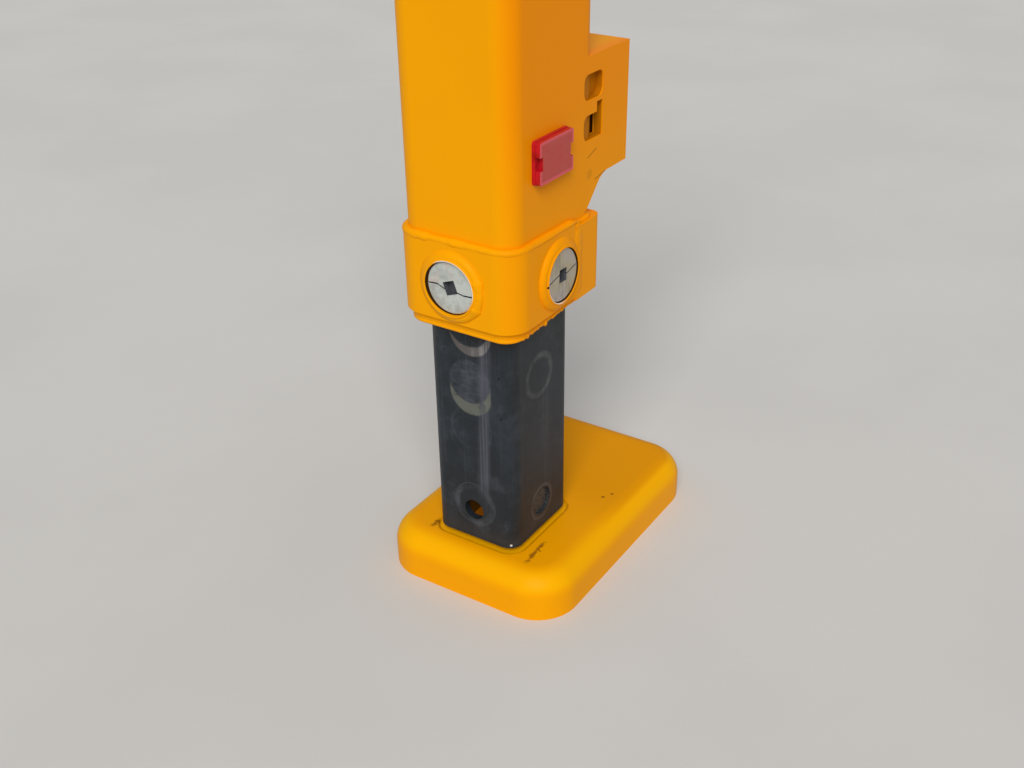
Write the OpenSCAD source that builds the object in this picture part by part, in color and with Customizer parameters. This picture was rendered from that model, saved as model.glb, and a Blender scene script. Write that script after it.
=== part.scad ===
// Vertical stabiliser leg of a backhoe loader, with its foot on the ground.
// Sizes are taken from the ground up and from the leg's own axis; the row frame starts at the frame joint.

/* [Inner leg] */
// Width of the sliding leg across the machine
leg_w = 142; // [110:1:160]
// Depth of the sliding leg along the machine
leg_d = 128; // [104:1:136]
// Wall of the sliding leg
leg_wall = 10; // [6:0.5:12]
// Outside corner radius of the sliding leg
leg_corner_r = 19; // [12:0.5:24]
// Height of the leg's lower end above the ground
leg_bottom_z = 69.5; // [68:0.5:80]
// Length of the sliding leg
leg_length = 800; // [760:5:805]
// Radius of the access hole in each side of the leg
access_r = 15; // [8:0.5:18]
// Height of the access holes above the ground
access_z = 115; // [108:1:122]

/* [Leg housing] */
// Room between the leg and the housing for the outer wear pads
room_outer = 14; // [12:0.5:18]
// Room between the leg and the housing for the inner wear pads
room_inner = 16; // [12:0.5:24]
// Room between the leg and the housing for the rear wear pads
room_rear = 10; // [6:0.5:16]
// Room between the leg and the housing for the front wear pads
room_front = 6; // [4:0.5:12]
// Wall of the housing tube
tube_wall = 8; // [6:0.5:9]
// Outside corner radius of the housing tube
tube_corner_r = 26; // [20:0.5:30]
// Height of the housing's lower lip above the ground
lip_z = 394; // [385:1:400]
// Height of the housing's open top above the ground
tube_top_z = 1262; // [1255:1:1290]
// Rise of the lower lip across the housing, in degrees
lip_tilt = 2; // [0:0.5:2.5]

/* [Collar and adjusters] */
// Thickness of the bent collar plates
collar_t = 7; // [4:0.5:10]
// Height of the collar plates
collar_h = 103; // [96:1:112]
// Length of bare lip below the collar
lip_h = 14; // [6:1:20]
// Gap that the seam weld fills between the two collar plates
collar_seam_gap = 3; // [1:0.5:5]
// Place of the collar's seam from the housing's axis
collar_seam_x = 38; // [30:1:60]
// Height by which the inner collar plate's upper edge lies below the outer one's
collar_inner_drop = 9; // [0:0.5:12]
// Height by which its lower edge lies below the outer one's
collar_inner_hang = 5; // [0:0.5:7]
// Outside corner radius of the inner collar plate
collar_inner_r = 13; // [10:1:33]
// Radius of the adjuster discs
disc_r = 33.3; // [28:0.1:36]
// Height of the adjuster discs above the lip
disc_rise = 61; // [58:1:66]
// Width of the bevel round a disc's face
disc_bevel = 1.5; // [0.5:0.1:2.5]
// Wall of the bush round a disc
bush_wall = 3.2; // [2:0.1:5]
// Height of the bush above the collar plate
bush_h = 7; // [4:0.5:8]
// Reach of the weld's flank round a bush
flank_w = 10; // [6:0.5:11]
// Depth of a disc's face below the top of its bush
disc_recess = 4; // [2:0.5:6]
// Depth of the rear disc's face below the top of its bush
disc_rear_recess = 1.5; // [0.5:0.5:6]
// Width of the relief round a disc at the mouth of its bush
mouth_relief = 1.2; // [0.5:0.1:1.8]
// Depth of that relief
mouth_depth = 5.5; // [2:0.5:6]
// Side of the square drive hole in a disc
drive_w = 17; // [12:0.5:20]
// Depth of the square drive hole
drive_depth = 11; // [6:1:12]
// Width of the saw cut across a disc
slit_w = 2; // [1:0.5:3]
// Depth of the saw cut across a disc
slit_depth = 3; // [1:0.5:5]
// Part of a disc's radius at which the saw cut bends
slit_bend = 0.56; // [0.4:0.02:0.8]

/* [Wear pads] */
// Width of a wear pad
pad_w = 84; // [50:1:86]
// Height of a wear pad
pad_h = 84; // [60:1:90]
// Running gap between a wear pad and the face it slides on
pad_gap = 0.3; // [0.2:0.1:0.6]
// Distance of the upper pads below the leg's upper end
upper_pad_drop = 6; // [2:1:20]
// Bevel at the upper and lower edge of a pad
pad_bevel = 4; // [1:0.5:5]

/* [Foot] */
// Reach of the foot outwards from the leg's axis
foot_out = 115; // [110:1:125]
// Reach of the foot inwards from the leg's axis
foot_in = 301; // [260:1:320]
// Reach of the foot to the rear of the leg's axis
foot_rear = 151; // [145:1:165]
// Reach of the foot to the front of the leg's axis
foot_front = 135; // [130:1:150]
// Height of the foot's rim
foot_h = 66.5; // [64:0.5:67]
// Corner radius of the foot seen from above
foot_corner_r = 61; // [56:1:66]
// Radius of the foot's rounded upper edge
foot_edge_r = 34; // [28:1:36]
// Depth of the pocket in the foot's top, under the leg's end
foot_pocket = 6; // [5.5:0.1:7]
// Reach of the pocket beyond the leg's faces
foot_pocket_gap = 10; // [9.5:0.5:12]
// Width of the slope round the pocket
foot_slope_w = 9; // [6.5:0.5:9]
// Wall of the foot casting
foot_wall = 16; // [14:0.5:18]
// Thickness of the ribs under the foot
foot_rib_t = 12; // [8:1:16]

/* [Foot pivot] */
// Radius of the foot's pin
foot_pin_r = 20; // [16:0.5:22]
// Height of the foot's pin above the ground
foot_pin_z = 112; // [110:0.5:114]
// Depth of the pin's ends below the leg's faces
foot_pin_recess = 4; // [2:0.5:6]
// Radius of the lug round the pin
lug_r = 36; // [30:1:38]
// Thickness of each of the two lugs
lug_t = 16; // [10:1:18]
// Width of a lug where it stands on the foot
lug_base_w = 86; // [80:1:90]
// Running gap between a pin and its lug, on the radius
pin_gap = 0.05; // [0.02:0.01:0.1]
// Gap between a lug and the rod's eye
lug_gap = 3; // [1:0.5:4]

/* [Ram] */
// Radius of the ram's barrel
barrel_r = 42; // [36:0.5:44]
// Bore radius of the ram's barrel
barrel_bore_r = 35; // [30:0.5:36]
// Radius of the ram's rod
rod_r = 20; // [16:0.5:22]
// Length of the ram's rod from the foot's pin
rod_length = 705; // [695:1:710]
// Radius of the head pin
head_pin_r = 20; // [16:0.5:22]
// Distance of the head pin below the housing's top
head_pin_drop = 57; // [50:1:60]
// Length of the barrel from the head pin to the gland's face
barrel_length = 700; // [690:1:705]
// Length of the solid cap that closes the barrel
cap_length = 36; // [24:1:50]
// Distance between the cap and the eye above it
eye_neck = 4; // [2:1:10]
// Length of the gland in the barrel
gland_length = 45; // [30:1:60]
// Thickness of the gland's flange below the barrel
gland_flange_t = 8; // [5:1:12]
// Radius of the eye at each end of the ram
eye_r = 34; // [28:1:35]
// Width of the eye at the head of the ram
head_eye_w = 46; // [36:1:60]
// Width of the eye at the end of the rod
rod_eye_w = 50; // [40:1:60]
// Radius of the bosses that hold the head pin
head_boss_r = 38; // [30:1:44]
// Height of the bosses that hold the head pin
head_boss_h = 12; // [8:1:20]
// Distance that the head pin's ends stand out of their bosses
head_pin_proud = 2; // [1:0.5:5]

/* [Lock valve] */
// Width of the lock valve across the machine
valve_w = 84; // [76:1:100]
// Depth of the lock valve along the machine
valve_d = 46; // [40:1:60]
// Height of the lock valve
valve_h = 42; // [36:1:60]
// Width of the flat seat under the lock valve
valve_seat_w = 56; // [40:1:64]
// Distance between the two hydraulic ports
port_pitch = 44; // [36:1:46]
// Radius of a hydraulic port
port_r = 9; // [6:0.5:10]
// Depth of a hydraulic port
port_depth = 16; // [12:1:20]

/* [Frame rails] */
// Reach of the rail stubs from the leg's axis to the frame joint
joint_x = 175; // [160:1:260]
// Height of the lower rail's underside above the ground
lower_rail_z = 549; // [530:1:560]
// Distance of the upper rail's underside below the housing's top
upper_rail_drop = 252; // [245:1:360]
// Height of a rail
rail_h = 150; // [130:1:170]
// Thickness of a rail's side plates
rail_side_t = 15; // [10:1:20]
// Thickness of a rail's upper and lower plates
rail_flange_t = 25; // [16:1:30]
// Drop of the side plates' slope below the lower rail
gusset_drop = 45; // [40:1:50]
// Radius of the curve between that slope and the rail's underside
gusset_r = 34; // [20:1:45]
// Height of each of the two recesses at the edge of the lower rear plate
recess_h = 31; // [24:1:34]
// Corner radius of a recess
recess_r = 10; // [6:0.5:12]
// Reach of a recess past the housing's edge
recess_reach = 16; // [12:1:20]
// Reach of a recess onto the housing's flat face
recess_lap = 3; // [1:0.5:5]
// Depth of a recess in the housing's wall
recess_tube_depth = 3.5; // [1:0.5:4]
// Depth of a recess in the rail's plate
recess_plate_depth = 10; // [5:0.5:12]
// Distance between the middles of the two recesses
recess_pitch = 48.5; // [46:0.5:50]
// Height of the middle between them above the rail's underside
recess_rise = 89; // [84:1:92]
// Width of the slot through the plate at the lower recess
slot_w = 14; // [8:1:16]
// Height of that slot
slot_h = 43; // [30:1:44]

/* [Reflector] */
// Width of the reflector
reflector_w = 74.5; // [60:0.5:90]
// Height of the reflector
reflector_h = 51.5; // [40:0.5:60]
// Thickness of the reflector with its base
reflector_t = 11; // [8:0.5:14]
// Thickness of the reflector's base
reflector_base_t = 4.5; // [2:0.5:6]
// Step from the base in to the lens, all round
reflector_step = 0.8; // [0.4:0.1:1.5]
// Corner radius of the reflector
reflector_corner_r = 4; // [2:0.5:8]
// Depth of the notch at each end of the lens
notch_depth = 6; // [3:0.5:8]
// Height of the notch at each end of the lens
notch_h = 16; // [8:1:20]
// Height of the reflector's centre above the ground
reflector_z = 606; // [570:1:660]
// Place of the reflector's centre from the leg's axis
reflector_x = -13; // [-30:1:0]

/* [Hidden] */
$fn = 48;
// Overrun of a cut past the face that it leaves
e = 1;
// Gap left at a welded joint, so that two plates never share a solid
weld_gap = 0.05;

// Places and sizes worked out from the sizes above
tube_x0 = -leg_w / 2 - room_outer - tube_wall;
tube_x1 = leg_w / 2 + room_inner + tube_wall;
tube_y0 = -leg_d / 2 - room_rear - tube_wall;
tube_y1 = leg_d / 2 + room_front + tube_wall;
tube_w = tube_x1 - tube_x0;
tube_d = tube_y1 - tube_y0;
tube_dx = (tube_x0 + tube_x1) / 2;
tube_dy = (tube_y0 + tube_y1) / 2;
row_origin = [joint_x, tube_dy, lower_rail_z + rail_flange_t / 2];
leg_top_z = leg_bottom_z + leg_length;
collar_z = lip_z + lip_h;
disc_z = lip_z + disc_rise;
head_pin_z = tube_top_z - head_pin_drop;
gland_z = head_pin_z - barrel_length;
cap_top_z = head_pin_z - eye_r - eye_neck;
valve_z = head_pin_z + eye_r;
pocket_z = foot_h - foot_pocket;
collar_top_z = collar_z + collar_h;
upper_rail_z = tube_top_z - upper_rail_drop;
lug_y = rod_eye_w / 2 + lug_gap + lug_t / 2;
upper_pad_z = leg_top_z - upper_pad_drop - pad_h / 2;
bush_r = disc_r + bush_wall;
flank_r = bush_r + flank_w;
flat_x1 = tube_x1 - tube_corner_r;
recess_mid_z = lower_rail_z + recess_rise;
recess_low_z = recess_mid_z - (recess_pitch + recess_h) / 2;

// The four sides that carry a disc and wear pads: name and direction outwards in x and in y
SIDES = [["outer", -1, 0], ["rear", 0, -1], ["inner", 1, 0], ["front", 0, 1]];
// The discs in the same order: turn of the saw cut and of the drive hole in degrees, depth of the face,
// and how far each half of the cut lies beside the middle at the hole and at the rim, in radii
DISCS = [
    [4, 20, disc_recess, [-0.13, -0.21], [0.06, -0.09]],
    [12, -3, disc_rear_recess, [-0.07, -0.07], [-0.14, -0.15]],
    [12, 36, disc_recess, [0, -0.12], [0, -0.12]],
    [-9, 15, disc_recess, [0, -0.12], [0, -0.12]]
];
// The two rails: name, height of the underside, length of the slope below it
RAILS = [["lower", lower_rail_z, gusset_drop], ["upper", upper_rail_z, 0]];

// Moves what is drawn from the leg's foot to the row's frame
module in_row() {
    translate(-row_origin) children();
}

// A rectangle with round corners, about its own centre
module round_rect(w, d, r) {
    square([w - 2 * r, d], center = true);
    square([w, d - 2 * r], center = true);
    for (sx = [-1, 1], sy = [-1, 1])
        translate([sx * (w / 2 - r), sy * (d / 2 - r)]) circle(r);
}

// The housing's outline, grown by g
module tube_outline(g = 0) {
    translate([tube_dx, tube_dy]) round_rect(tube_w + 2 * g, tube_d + 2 * g, tube_corner_r + g);
}

// A rod along y through [x, z], from y0 to y1
module rod_y(x, z, r, y0, y1) {
    translate([x, y1, z]) rotate([90, 0, 0]) cylinder(r = r, h = y1 - y0);
}

// Turns a drawing that faces up to face outwards on one side of the housing, at a height
module on_side(dir, z, out = 0) {
    translate([
        dir[0] == 0 ? 0 : tube_dx + dir[0] * (tube_w / 2 + out),
        dir[1] == 0 ? 0 : tube_dy + dir[1] * (tube_d / 2 + out), z])
        rotate([90, 0, atan2(dir[1], dir[0]) + 90]) children();
}

// Distance from the housing's outer face to the leg's face on one side
function side_gap(dir) = dir[0] != 0
    ? tube_w / 2 + dir[0] * tube_dx - leg_w / 2
    : tube_d / 2 + dir[1] * tube_dy - leg_d / 2;

// Half the width of the leg on one side
function leg_half(dir) = dir[0] != 0 ? leg_w / 2 : leg_d / 2;

// Holes for the four discs, through whatever lies between the two depths
module disc_holes(r, depth_in, depth_out) {
    for (s = SIDES)
        on_side([s[1], s[2]], disc_z, -depth_in) cylinder(r = r, h = depth_in + depth_out);
}

module housing_tube() {
    color([0.93, 0.6, 0.04]) in_row() difference() {
        union() {
            translate([0, 0, lip_z]) linear_extrude(tube_top_z - lip_z) tube_outline();
            rod_y(0, head_pin_z, head_boss_r, tube_y0 - head_boss_h, tube_y1 + head_boss_h);
        }
        translate([0, 0, lip_z - e]) linear_extrude(tube_top_z - lip_z + 2 * e)
            tube_outline(-tube_wall);
        translate([tube_x0, 0, lip_z]) rotate([0, -lip_tilt, 0])
            translate([-tube_w / 2, -tube_d, -tube_w]) cube([2 * tube_w, 2 * tube_d, tube_w]);
        disc_holes(disc_r, tube_wall + e, e);
        rod_y(0, head_pin_z, head_pin_r, tube_y0 - head_boss_h - e, tube_y1 + head_boss_h + e);
        recesses(recess_tube_depth);
    }
}

// The two recesses at the edge of the lower rail, cut to a depth from the rear face
module recesses(depth) {
    w = tube_corner_r + recess_lap + recess_reach;
    for (s = [-1, 1])
        translate([flat_x1 - recess_lap + w / 2, tube_y0 + depth, recess_mid_z + s * recess_pitch / 2])
            rotate([90, 0, 0]) linear_extrude(depth + e) round_rect(w, recess_h, recess_r);
}

// The part of the plan that belongs to one of the two collar plates
module collar_share(side) {
    far = tube_w + tube_d;
    translate([tube_dx, tube_dy]) {
        if (side < 0) {
            translate([-far, -far]) square([far + collar_seam_x - collar_seam_gap / 2, far]);
            translate([-far, -e]) square([far - collar_seam_x - collar_seam_gap / 2, far]);
        } else {
            translate([collar_seam_x + collar_seam_gap / 2, -far]) square([far, far + e]);
            translate([-collar_seam_x + collar_seam_gap / 2, 0]) square([far, far]);
        }
    }
}

// One bent plate round two sides of the housing, with a bush for each disc
module collar_plate(side) {
    base_z = side > 0 ? collar_z - collar_inner_hang : collar_z;
    top_z = side > 0 ? collar_top_z - collar_inner_drop : collar_top_z;
    color([0.93, 0.6, 0.04]) in_row() difference() {
        union() {
            translate([0, 0, base_z]) linear_extrude(top_z - base_z) intersection() {
                difference() {
                    translate([tube_dx, tube_dy]) round_rect(tube_w + 2 * collar_t,
                        tube_d + 2 * collar_t, side > 0 ? collar_inner_r : tube_corner_r + collar_t);
                    tube_outline();
                }
                collar_share(side);
            }
            for (s = SIDES) if (s[1] + s[2] == side)
                on_side([s[1], s[2]], disc_z) disc_bush();
        }
        for (s = SIDES) if (s[1] + s[2] == -side)
            on_side([s[1], s[2]], disc_z) cylinder(r = flank_r + collar_seam_gap, h = tube_w / 4);
        disc_holes(disc_r, e, collar_t + bush_h + e);
        disc_holes(disc_r + mouth_relief, mouth_depth - collar_t - bush_h, collar_t + bush_h + e);
    }
}

// The bush round a disc, with the weld's flank down to the collar plate
module disc_bush() {
    top = collar_t + bush_h;
    rotate_extrude() polygon([[0, 0], [flank_r, 0], [flank_r, collar_t], [bush_r, top], [0, top]]);
}

// A threaded disc with its square drive hole and saw cut, up against its wear pad
module adjuster_disc(dir, disc) {
    thick = tube_wall + collar_t + bush_h - disc[2];
    color([0.72, 0.72, 0.7]) in_row() on_side(dir, disc_z, -tube_wall) difference() {
        rotate_extrude() polygon([[0, 0], [disc_r, 0], [disc_r, thick - disc_bevel],
            [disc_r - disc_bevel, thick], [0, thick]]);
        translate([0, 0, thick - drive_depth / 2 + e / 2]) rotate(disc[1])
            cube([drive_w, drive_w, drive_depth + e], center = true);
        for (half = [0, 1]) rotate(disc[0] + 180 * half) saw_cut(thick, disc[3 + half] * disc_r);
    }
}

// Half of the saw cut: it leaves the drive hole at the first height, bends, and runs straight out of
// the rim at the second
module saw_cut(face_z, heights) {
    bend = slit_bend * disc_r;
    w = slit_w / 2;
    translate([0, 0, face_z - slit_depth]) linear_extrude(slit_depth + e) polygon([
        [drive_w / 4, heights[0] - w], [drive_w / 2, heights[0] - w], [bend, heights[1] - w],
        [disc_r + e, heights[1] - w], [disc_r + e, heights[1] + w], [bend, heights[1] + w],
        [drive_w / 2, heights[0] + w], [drive_w / 4, heights[0] + w]]);
}

// A wear pad between the leg and the housing: bevelled at its upper and lower edge
module pad_block(w, h, t) {
    bevel = min(t / 2, pad_bevel);
    rotate([90, 0, 90]) translate([0, 0, -w / 2]) linear_extrude(w) polygon([
        [-h / 2, 0], [h / 2, 0], [h / 2, t - bevel], [h / 2 - bevel, t],
        [-h / 2 + bevel, t], [-h / 2, t - bevel]]);
}

// A lower pad lies on the housing's inner face and stops short of the leg
module lower_pad(dir) {
    t = side_gap(dir) - tube_wall - pad_gap;
    color([0.16, 0.16, 0.17]) in_row() on_side(dir, disc_z, -tube_wall)
        mirror([0, 0, 1]) pad_block(pad_w, pad_h, t);
}

// An upper pad is carried by the leg and stops short of the housing
module upper_pad(dir) {
    t = side_gap(dir) - tube_wall - pad_gap;
    color([0.16, 0.16, 0.17]) in_row()
        translate([dir[0] * leg_half(dir), dir[1] * leg_half(dir), upper_pad_z])
        rotate([90, 0, atan2(dir[1], dir[0]) + 90]) pad_block(pad_w, pad_h, t);
}

// Outline of a rail's side plate in x and z: a slope of 45 degrees runs down the housing
// from a curve at the rail's underside, and ends above the collar
module rail_side_outline(z0, drop) {
    low = max(z0 - drop, collar_top_z + weld_gap);
    meet_x = flat_x1 + drop;
    t = drop > 0 ? gusset_r * tan(22.5) : 0;
    difference() {
        polygon([[flat_x1, low], [meet_x - z0 + low, low], [meet_x - t * cos(45), z0 - t * sin(45)],
            [meet_x + t, z0], [joint_x, z0], [joint_x, z0 + rail_h], [flat_x1, z0 + rail_h]]);
        if (drop > 0) translate([meet_x + t, z0 - gusset_r]) circle(gusset_r);
    }
}

// A rail's side plate, flush with the housing's rear or front face
module rail_side(rail, dir) {
    y = dir < 0 ? tube_y0 + rail_side_t : tube_y1;
    color([0.93, 0.6, 0.04]) in_row() difference() {
        translate([0, y, 0]) rotate([90, 0, 0]) linear_extrude(rail_side_t)
            rail_side_outline(rail[1], rail[2]);
        linear_extrude(tube_top_z) tube_outline(weld_gap);
        if (dir < 0 && rail[2] > 0) {
            recesses(recess_plate_depth);
            translate([tube_x1 + recess_reach - slot_w, tube_y0 - e, recess_low_z])
                cube([slot_w, rail_side_t + 2 * e, slot_h]);
        }
    }
}

// The two plates that close a rail above and below
module rail_flanges(rail) {
    depth = tube_d - 2 * rail_side_t;
    color([0.93, 0.6, 0.04]) in_row() difference() {
        for (z = [rail[1], rail[1] + rail_h - rail_flange_t])
            translate([tube_x1 - e, tube_y0 + rail_side_t, z])
                cube([joint_x - tube_x1 + e, depth, rail_flange_t]);
        linear_extrude(tube_top_z) tube_outline(weld_gap);
    }
}

// A reflector: a base, and a lens with a notch at each end
module reflector() {
    lens_w = reflector_w - 2 * reflector_step;
    color([0.75, 0.06, 0.08]) in_row()
        translate([reflector_x, tube_y0, reflector_z]) rotate([90, 0, 0]) {
            linear_extrude(reflector_base_t)
                round_rect(reflector_w, reflector_h, reflector_corner_r);
            linear_extrude(reflector_t) difference() {
                round_rect(lens_w, reflector_h - 2 * reflector_step,
                    reflector_corner_r - reflector_step);
                for (s = [-1, 1]) translate([s * lens_w / 2, 0])
                    square([2 * notch_depth, notch_h], center = true);
            }
        }
}

module head_pin() {
    color([0.62, 0.62, 0.64]) in_row()
        rod_y(0, head_pin_z, head_pin_r, tube_y0 - head_boss_h - head_pin_proud,
            tube_y1 + head_boss_h + head_pin_proud);
}

// The barrel hangs from the head pin: bored tube, closed cap, eye, and a flat seat for the valve
module ram_barrel() {
    color([0.1, 0.1, 0.11]) in_row() difference() {
        union() {
            translate([0, 0, gland_z]) cylinder(r = barrel_r, h = cap_top_z - gland_z);
            rod_y(0, head_pin_z, eye_r, -head_eye_w / 2, head_eye_w / 2);
            translate([-eye_r, -head_eye_w / 2, cap_top_z - e])
                cube([2 * eye_r, head_eye_w, head_pin_z - cap_top_z + e]);
            translate([-valve_seat_w / 2, -head_eye_w / 2, head_pin_z])
                cube([valve_seat_w, head_eye_w, valve_z - head_pin_z]);
        }
        translate([0, 0, gland_z - e])
            cylinder(r = barrel_bore_r, h = cap_top_z - cap_length - gland_z + e);
        rod_y(0, head_pin_z, head_pin_r + pin_gap, -head_eye_w / 2 - e, head_eye_w / 2 + e);
    }
}

// The gland closes the barrel's lower end round the rod
module ram_gland() {
    flange_z = gland_z - gland_flange_t;
    color([0.35, 0.35, 0.37]) in_row() difference() {
        union() {
            translate([0, 0, flange_z]) cylinder(r = barrel_bore_r, h = gland_length);
            translate([0, 0, flange_z]) cylinder(r = barrel_r, h = gland_flange_t);
        }
        translate([0, 0, flange_z - e]) cylinder(r = rod_r + pin_gap, h = gland_length + 2 * e);
    }
}

// A block on the ram's head with two upward ports
module lock_valve() {
    color([0.3, 0.3, 0.32]) in_row() difference() {
        translate([-valve_w / 2, -valve_d / 2, valve_z]) cube([valve_w, valve_d, valve_h]);
        for (s = [-1, 1]) translate([s * port_pitch / 2, 0, valve_z + valve_h - port_depth])
            cylinder(r = port_r, h = port_depth + e);
    }
}

module inner_leg() {
    color([0.08, 0.085, 0.09]) in_row() difference() {
        translate([0, 0, leg_bottom_z]) linear_extrude(leg_length)
            round_rect(leg_w, leg_d, leg_corner_r);
        translate([0, 0, leg_bottom_z - e]) linear_extrude(leg_length + 2 * e)
            round_rect(leg_w - 2 * leg_wall, leg_d - 2 * leg_wall, leg_corner_r - leg_wall);
        translate([-leg_w, 0, access_z]) rotate([0, 90, 0]) cylinder(r = access_r, h = 2 * leg_w);
        rod_y(0, foot_pin_z, foot_pin_r, -leg_d, leg_d);
    }
}

// The rod runs in the gland and is held in the leg by the foot's pin
module ram_rod() {
    color([0.8, 0.8, 0.82]) in_row() difference() {
        union() {
            translate([0, 0, foot_pin_z]) cylinder(r = rod_r, h = rod_length);
            rod_y(0, foot_pin_z, eye_r, -rod_eye_w / 2, rod_eye_w / 2);
        }
        rod_y(0, foot_pin_z, foot_pin_r + pin_gap, -rod_eye_w, rod_eye_w);
    }
}

module foot_pin() {
    color([0.2, 0.2, 0.21]) in_row()
        rod_y(0, foot_pin_z, foot_pin_r,
            -leg_d / 2 + foot_pin_recess, leg_d / 2 - foot_pin_recess);
}

// Section of a slab's edge, with z up: square below, and rounded above by rx and rz
module edge_section(half, h, rx, rz) {
    square([half, h - rz]);
    square([half - rx, h]);
    translate([half - rx, h - rz]) scale([rx / rz, 1]) intersection() {
        circle(rz);
        square(rz);
    }
}

// A slab over a rectangle that reaches out, in, to the rear and to the front of the leg's axis by the
// four numbers in reach: the section is turned round each corner of radius r and drawn along each
// side, and lies from the corner's centre outwards
module slab(reach, r, height) {
    x0 = r - reach[0];
    x1 = reach[1] - r;
    y0 = r - reach[2];
    y1 = reach[3] - r;
    // Each corner's centre, its turn, and the length of the side before it
    corners = [[x1, y1, 0, y1 - y0], [x0, y1, 90, x1 - x0],
        [x0, y0, 180, y1 - y0], [x1, y0, 270, x1 - x0]];
    for (c = corners) translate([c[0], c[1], 0]) rotate(c[2]) {
        rotate_extrude(angle = 90) children();
        rotate([90, 0, 0]) linear_extrude(c[3]) children();
    }
    translate([x0, y0, 0]) cube([x1 - x0, y1 - y0, height]);
}

// Section of the pocket, with z up from its floor: two equal arcs, one hollow and one round, rise to
// the foot's top at the distance r
module pocket_section(r) {
    w = foot_slope_w;
    d = foot_pocket;
    arc_r = (w * w + d * d) / (4 * d);
    difference() {
        union() {
            polygon([[0, 0], [r - w, 0], [r, d], [r, d + e], [0, d + e]]);
            intersection() {
                translate([r - w, arc_r]) circle(arc_r);
                translate([r - w, 0]) square([w / 2, d / 2]);
            }
        }
        intersection() {
            translate([r, d - arc_r]) circle(arc_r);
            translate([r - w / 2, d / 2]) square([w / 2, d / 2]);
        }
    }
}

// The foot's casting: rounded edges, a pocket under the leg's end, and a ribbed hollow below
module foot_pad() {
    roof_z = foot_h - foot_wall;
    reach = [foot_out, foot_in, foot_rear, foot_front];
    half = [leg_w / 2 + foot_pocket_gap, leg_d / 2 + foot_pocket_gap];
    pocket_r = leg_corner_r + foot_pocket_gap;
    color([0.93, 0.6, 0.04]) in_row() {
        difference() {
            slab(reach, foot_corner_r, foot_h)
                edge_section(foot_corner_r, foot_h, foot_edge_r, foot_edge_r);
            translate([0, 0, pocket_z])
                slab([half[0], half[0], half[1], half[1]], pocket_r, foot_pocket + e)
                    pocket_section(pocket_r);
            translate([0, 0, -e]) slab(reach, foot_corner_r, roof_z + e)
                edge_section(foot_corner_r - foot_wall, roof_z + e,
                    foot_edge_r - foot_wall, foot_edge_r - foot_wall);
        }
        foot_ribs(roof_z);
    }
}

// Ribs under the foot: two along it, under the lugs, and four across
module foot_ribs(height) {
    long = foot_in + foot_out - 2 * foot_wall + 2 * e;
    wide = foot_front + foot_rear - 2 * foot_wall + 2 * e;
    for (s = [-1, 1])
        translate([foot_wall - e - foot_out, s * lug_y - foot_rib_t / 2, 0])
            cube([long, foot_rib_t, height + e]);
    for (x = [-leg_w / 2, 0, leg_w / 2, (leg_w / 2 + foot_in) / 2])
        translate([x - foot_rib_t / 2, foot_wall - e - foot_rear, 0])
            cube([foot_rib_t, wide, height + e]);
}

// Two lugs stand on the foot inside the leg, one each side of the rod's eye, and turn on the pin
module foot_lug() {
    half = lug_base_w / 2;
    color([0.93, 0.6, 0.04]) in_row() difference() {
        for (s = [-1, 1])
            translate([0, s * lug_y + lug_t / 2, 0]) rotate([90, 0, 0]) linear_extrude(lug_t) {
                translate([0, foot_pin_z]) circle(lug_r);
                polygon([[-half, pocket_z], [half, pocket_z], [lug_r, foot_pin_z],
                    [-lug_r, foot_pin_z]]);
            }
        rod_y(0, foot_pin_z, foot_pin_r + pin_gap, -leg_d, leg_d);
    }
}

housing_tube();
collar_plate(-1);  // collar_outer
collar_plate(1);  // collar_inner
for (i = [0:3]) {
    dir = [SIDES[i][1], SIDES[i][2]];
    adjuster_disc(dir, DISCS[i]);
    lower_pad(dir);
    upper_pad(dir);
}
for (rail = RAILS) {
    rail_side(rail, -1);
    rail_side(rail, 1);
    rail_flanges(rail);
}
reflector();
head_pin();
ram_barrel();
ram_gland();
lock_valve();
inner_leg();
ram_rod();
foot_pin();
foot_pad();
foot_lug();
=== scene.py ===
"""Looks of a backhoe loader's stabiliser leg: paint, wear, welds, small fasteners and a plain studio.

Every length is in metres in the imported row's frame. Places that follow the leg are given in millimetres
from the leg's axis at ground level, and at() turns them into the row's frame.
"""

import math

import bpy
import numpy as np
from bpy.props import FloatProperty, FloatVectorProperty, PointerProperty
from mathutils import Matrix, Vector


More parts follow.
